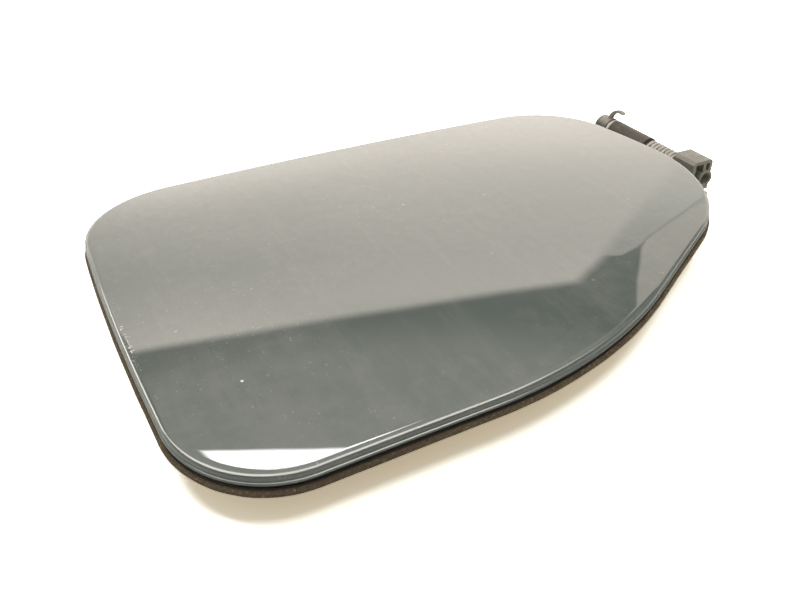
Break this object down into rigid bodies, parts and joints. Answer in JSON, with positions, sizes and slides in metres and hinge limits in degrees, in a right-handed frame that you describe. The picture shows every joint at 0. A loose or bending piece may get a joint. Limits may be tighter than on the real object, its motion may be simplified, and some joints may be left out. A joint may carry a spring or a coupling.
{
  "type": "car fuel door",
  "caption": "Painted crowned fuel door on a moulded inner carrier, with a rubber rim seal, latch striker and a sprung pin hinge on a screw-on bracket.",
  "frame": {"origin": "middle of the two screw holes of the hinge bracket, on its mounting face", "axes": "+X from the free end to the hinge end, +Y to the straight long edge, +Z out of the car"},
  "size_m": [0.2238, 0.1522, 0.0195],
  "materials": {
    "paint": "dusty gloss clear coat over dark green grey, on a plastic moulding",
    "moulding": "fine grained black moulding",
    "seal": "dusty dull rubber",
    "buffer": "dull rubber",
    "hinge_plastic": "glass filled black moulding, dusty",
    "pin_steel": "bright zinc",
    "spring_steel": "oiled wire with dust",
    "washer": "natural nylon",
    "screw_steel": "black zinc"
  },
  "bodies": {
    "bracket": {"hinge_bracket": "hinge_plastic", "hinge_pin": "pin_steel", "torsion_spring": "spring_steel", "spacer_washer": "washer", "bracket_sleeve_1": "pin_steel", "bracket_sleeve_2": "pin_steel"},
    "door": {"outer_skin": "paint", "inner_carrier": "moulding", "rim_seal": "seal", "hinge_arm": "hinge_plastic", "latch_striker": "moulding", "tether_peg": "moulding", "arm_screw_1": "screw_steel", "arm_screw_2": "screw_steel", "arm_screw_3": "screw_steel", "arm_screw_4": "screw_steel", "striker_screw_1": "screw_steel", "striker_screw_2": "screw_steel", "buffer_1": "buffer", "buffer_2": "buffer", "buffer_3": "buffer", "buffer_4": "buffer", "push_nut_1": "spring_steel", "push_nut_2": "spring_steel", "push_nut_3": "spring_steel", "push_nut_4": "spring_steel", "push_nut_5": "spring_steel", "push_nut_6": "spring_steel"}
  },
  "joints": [
    {"name": "door_hinge", "type": "hinge", "parent": "bracket", "child": "door", "pos_m": [0.0182, 0, 0.0101], "axis": [0, 1, 0], "range_deg": [0, 95], "deforming": ["torsion_spring"]}
  ]
}
